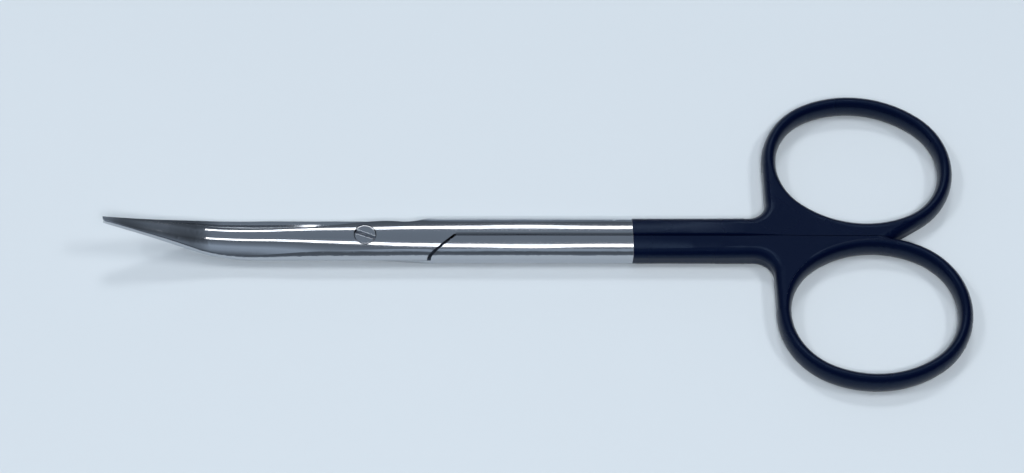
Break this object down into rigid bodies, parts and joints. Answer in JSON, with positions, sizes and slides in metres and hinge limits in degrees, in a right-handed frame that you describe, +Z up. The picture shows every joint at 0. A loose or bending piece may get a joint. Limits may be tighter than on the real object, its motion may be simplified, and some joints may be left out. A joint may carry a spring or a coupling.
{
  "type": "dissecting scissors",
  "caption": "Curved dissecting scissors with slim upturned blades, a slotted pivot screw, long parallel shanks and oval finger rings with a black coated handle.",
  "frame": {"origin": "on the pivot axis, in the plane that the closed scissors rest on, at the flush lower end of the pivot screw", "axes": "+X along the shanks from the pivot to the finger rings, +Y to the ring of the upper half, +Z up along the pivot axis, the side that the tips curve to"},
  "size_m": [0.1454, 0.0563, 0.0103],
  "materials": {
    "polished_steel": "polished, fine ground",
    "screw_steel": "polished"
  },
  "bodies": {
    "lower_body": {"lower_half": "polished_steel", "pivot_screw": "screw_steel"},
    "upper_body": {"upper_half": "polished_steel"}
  },
  "joints": [
    {"name": "pivot", "type": "hinge", "parent": "lower_body", "child": "upper_body", "pos_m": [0, 0, 0.0024], "axis": [0, 0, 1], "range_deg": [0, 130]}
  ]
}
